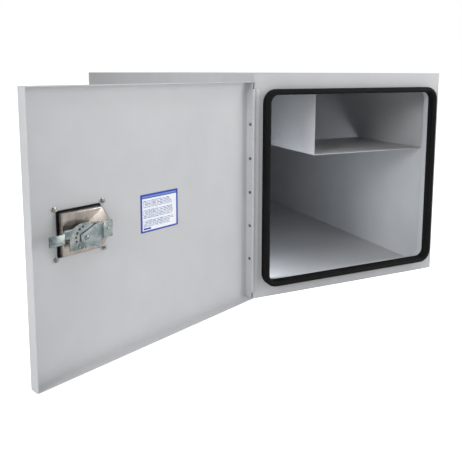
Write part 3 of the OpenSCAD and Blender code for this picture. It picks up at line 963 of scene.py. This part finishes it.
def make_latch_fasteners():
    """Four pan-head screws from outside and four flanged nuts inside."""
    boxes = solids("latch_screws")
    low, high = boxes[0]
    step_x = boxes[1][0].x - low.x
    step_z = boxes[2][0].z - low.z
    length = high.y - low.y
    place = Vector(((low.x + high.x) / 2, low.y, (low.z + high.z) / 2))
    head = (high.x - low.x) / 2
    shank = 2.4 * MM
    head_t = 1.2 * MM
    outline = [(0, 0.7 * MM), (1.3 * MM, 0.7 * MM), (1.5 * MM, 0), (head - 1.0 * MM, 0)]
    outline += arc(head - 0.9 * MM, 0.9 * MM, 0.9 * MM, -70, 0, 4)
    outline += [(head, head_t), (shank, head_t)]
    ridge = 0.8 * MM
    turns = int((length - head_t - 1.5 * MM) / ridge)
    for turn in range(turns):
        start = head_t + 0.3 * MM + turn * ridge
        outline += [(shank, start), (shank - 0.28 * MM, start + 0.45 * ridge)]
    outline += [(shank, length - 0.9 * MM), (shank - 0.7 * MM, length - 0.1 * MM), (0, length)]
    facing = (math.radians(-90), 0, 0)
    mesh = row(lathe(outline, 24), turned_steel, 2, place, (step_x, 0, 0), 2, (0, 0, step_z),
               facing=facing, loose_turn=3.0)
    piece("latch_screw_set", mesh, "door", turned_steel, ["latch_screws"], 40)

    boxes = solids("latch_nuts")
    low, high = boxes[0]
    place = Vector(((low.x + high.x) / 2, low.y, (low.z + high.z) / 2))
    wide = (high.x - low.x) / 2
    tall = high.y - low.y
    across = 4.6 * MM
    washer = [(0, 0), (wide - 0.2 * MM, 0), (wide, 0.2 * MM), (wide, 0.7 * MM),
              (wide - 0.4 * MM, 1.0 * MM), (across, 1.25 * MM), (0, 1.25 * MM)]
    block = [(0, 0.9 * MM), (across, 0.9 * MM), (across, tall - 0.7 * MM),
             (0.86 * across, tall - 0.05 * MM), (0.62 * across, tall), (0, tall)]
    nut = merged(lathe(washer, 30), lathe(block, 6))
    mesh = row(nut, turned_steel, 2, place, (step_x, 0, 0), 2, (0, 0, step_z),
               facing=facing, loose_turn=0.5, seed=SEED + 3)
    piece("latch_nut_set", mesh, "door", turned_steel, ["latch_nuts"])


def make_latch_bracket():
    """Folded bracket with true bends, and the rivet that holds its foot."""
    def bend(edge):
        return 20 * MM < edge.calc_length()

    shape = soften(cad_copy("pivot_bracket"), 0.9 * MM, among=bend, segments=4)
    piece("pivot_bracket_folded", shape, "door", zinc_plate, ["pivot_bracket"])

    low, high = shut_box("bracket_rivet")
    length = high.y - low.y
    head = (high.x - low.x) / 2
    top = 1.6 * MM
    outline = [(0, 0), (3.1 * MM, 0), (3.4 * MM, 0.3 * MM), (3.4 * MM, 1.2 * MM),
               (2.0 * MM, 1.2 * MM), (2.0 * MM, length - top)]
    outline += [(head * math.cos(math.radians(a)), length - top + top * math.sin(math.radians(a)))
                for a in range(0, 80, 10)]
    outline += [(0, length)]
    shape = turned_at("bracket_rivet", outline)
    piece("bracket_rivet_head", shape, "door", turned_steel, ["bracket_rivet"], 50)


def make_shaft_parts():
    """Bush, shaft, collar and the peened shaft end."""
    low, high = shut_box("shaft_bush")
    length = high.y - low.y
    flange = (high.x - low.x) / 2
    barrel = 8 * MM
    soft = 0.4 * MM
    outline = [(0, 0), (barrel - soft, 0), (barrel, soft), (barrel, length - 2 * MM),
               (flange - soft, length - 2 * MM), (flange, length - 2 * MM + soft),
               (flange, length - 2 * soft)]
    outline += arc(flange - 2 * soft, length - 2 * soft, 2 * soft, 20, 90, 4) + [(0, length)]
    piece("shaft_bush_turned", turned_at("shaft_bush", outline), "door",
          sintered_bronze, ["shaft_bush"])

    low, high = shut_box("handle_shaft")
    length = high.y - low.y
    thick = (high.x - low.x) / 2
    neck = 3 * MM
    step = 3.3 * MM
    outline = [(0, 0), (thick - 0.5 * MM, 0), (thick, 0.5 * MM), (thick, length - step - 0.4 * MM),
               (thick - 0.4 * MM, length - step), (neck, length - step),
               (neck, length - 0.3 * MM), (neck - 0.3 * MM, length), (0, length)]
    piece("handle_shaft_turned", turned_at("handle_shaft", outline), "latch_handle",
          turned_steel, ["handle_shaft"])

    low, high = shut_box("shaft_collar")
    length = high.y - low.y
    wide = (high.x - low.x) / 2
    outline = [(0, 0), (wide - 0.8 * MM, 0), (wide, 0.8 * MM), (wide, 0.35 * length),
               (wide - 0.7 * MM, 0.4 * length), (wide - 0.7 * MM, 0.6 * length),
               (wide, 0.65 * length), (wide, length - 0.8 * MM), (wide - 0.8 * MM, length),
               (0, length)]
    piece("shaft_collar_turned", turned_at("shaft_collar", outline), "latch_handle",
          zinc_plate, ["shaft_collar"])

    low, high = shut_box("shaft_cap")
    length = high.y - low.y
    wide = (high.x - low.x) / 2
    outline = [(0, 0), (wide - 0.2 * MM, 0)]
    for a in range(0, 71, 10):
        rise = 0.12 + 0.86 * math.sin(math.radians(a))
        outline.append((wide * math.cos(math.radians(a)), length * rise))
    outline += [(0.28 * wide, length), (0.2 * wide, 0.97 * length), (0, 0.9 * length)]
    piece("shaft_cap_peened", turned_at("shaft_cap", outline), "latch_handle",
          turned_steel, ["shaft_cap"], 50)


def make_cam_lever():
    """Stamped cam, with its long edges rounded."""
    def bend(edge):
        return edge.calc_length() > 9 * MM

    shape = soften(cad_copy("cam_lever"), 0.7 * MM, among=bend, segments=3)
    piece("cam_lever_stamping", shape, "latch_handle", zinc_plate,
          ["cam_lever"])


def make_handle_and_lock():
    shape = soften(cad_copy("t_handle"), 1.3 * MM, segments=4)
    piece("t_handle_casting", shape, "latch_handle", brushed_stainless,
          ["t_handle"])
    shape = soften(cad_copy("lock_cylinder"), 0.25 * MM, segments=2)
    piece("lock_cylinder_plug", shape, "lock_core", lock_brass,
          ["lock_cylinder"])


make_shell()
make_shelf()
make_rim()
make_seal()
make_welds()
make_hinge()
make_hinge_rivets()
make_door()
make_label()
make_latch_pan()
make_latch_gasket()
make_latch_fasteners()
make_latch_bracket()
make_shaft_parts()
make_cam_lever()
make_handle_and_lock()


# ------------------------------------------------------ camera, floor, lights

LENS_MM = 44.59
SENSOR_MM = 36.0
LENS_SHIFT = (0.0200, -0.1820)
CAMERA_PLACE = (-0.9665, -2.3736, 0.5969)
CAMERA_TILT = math.radians(82.50)
CAMERA_HEADING = math.radians(-23.83)


def make_camera():
    lens = bpy.data.cameras.new("camera")
    lens.lens = LENS_MM
    lens.sensor_width = SENSOR_MM
    lens.shift_x, lens.shift_y = LENS_SHIFT
    camera = bpy.data.objects.new("camera", lens)
    camera.location = CAMERA_PLACE
    camera.rotation_euler = (CAMERA_TILT, 0, CAMERA_HEADING)
    bpy.context.scene.collection.objects.link(camera)
    bpy.context.scene.camera = camera


# How bright the floor's own glow is to the camera; it lights nothing
FLOOR_GLOW = 0.8
FLOOR_SIZE = 60


def make_floor():
    made = bpy.data.materials.new("pale_floor")
    made.use_nodes = True
    tree = made.node_tree
    shader = tree.nodes["Principled BSDF"]
    tone = use_group(tree, mottle, object_place(tree), scale=0.6, fine=9.0,
                     light=(0.93, 0.93, 0.93, 1), dark=(0.91, 0.91, 0.91, 1))
    join(tree, (tone.outputs["Color"], shader.inputs["Base Color"]))
    shader.inputs["Roughness"].default_value = 0.7
    shader.inputs["Specular IOR Level"].default_value = 0.1
    shader.inputs["Emission Color"].default_value = (1, 1, 1, 1)
    seen = tree.nodes.new("ShaderNodeLightPath").outputs["Is Camera Ray"]
    join(tree, (ranged(tree, seen, 0.0, 1.0, 0.0, FLOOR_GLOW),
                shader.inputs["Emission Strength"]))
    bpy.ops.mesh.primitive_plane_add(size=FLOOR_SIZE)
    floor = bpy.context.object
    floor.name = "floor"
    floor.data.materials.append(made)


def area_light(name, place, target, width, height, power, colour=(1, 1, 1)):
    lamp = bpy.data.lights.new(name, "AREA")
    lamp.shape = "RECTANGLE"
    lamp.size = width
    lamp.size_y = height
    lamp.energy = power
    lamp.color = colour
    made = bpy.data.objects.new(name, lamp)
    made.location = place
    made.rotation_euler = (Vector(target) - Vector(place)).to_track_quat("-Z", "Y").to_euler()
    bpy.context.scene.collection.objects.link(made)
    return made


# How bright the room is as a light, and as the camera sees it
ROOM_LIGHT = 0.42
ROOM_SEEN = 1.0


def make_studio():
    world = bpy.data.worlds.new("studio")
    world.use_nodes = True
    tree = world.node_tree
    glow = tree.nodes["Background"]
    glow.inputs[0].default_value = (1.0, 1.0, 1.0, 1)
    seen = tree.nodes.new("ShaderNodeLightPath").outputs["Is Camera Ray"]
    join(tree, (ranged(tree, seen, 0.0, 1.0, ROOM_LIGHT, ROOM_SEEN), glow.inputs[1]))
    bpy.context.scene.world = world
    bpy.context.scene.view_settings.view_transform = "Standard"
    area_light("left_key", (-3.3, -2.8, 1.5), (0.1, -0.6, 0.2), 1.1, 1.1, 56)
    area_light("right_fill", (4.0, -3.4, 1.4), (-0.4, -1.2, 0.3), 2.4, 2.4, 112)
    area_light("overhead", (0.0, -1.6, 4.5), (0.0, -1.6, 0.0), 5.0, 5.0, 105)
    # Small lamp behind the left of the doorway, for light that reaches the inside
    inner = area_light("inside_bounce", (-0.285, -0.98, 0.15), (0.3, -0.72, 0.20), 0.05, 0.20,
                       0.9, (0.88, 0.94, 1.0))
    inner.visible_camera = False


make_camera()
make_floor()
make_studio()
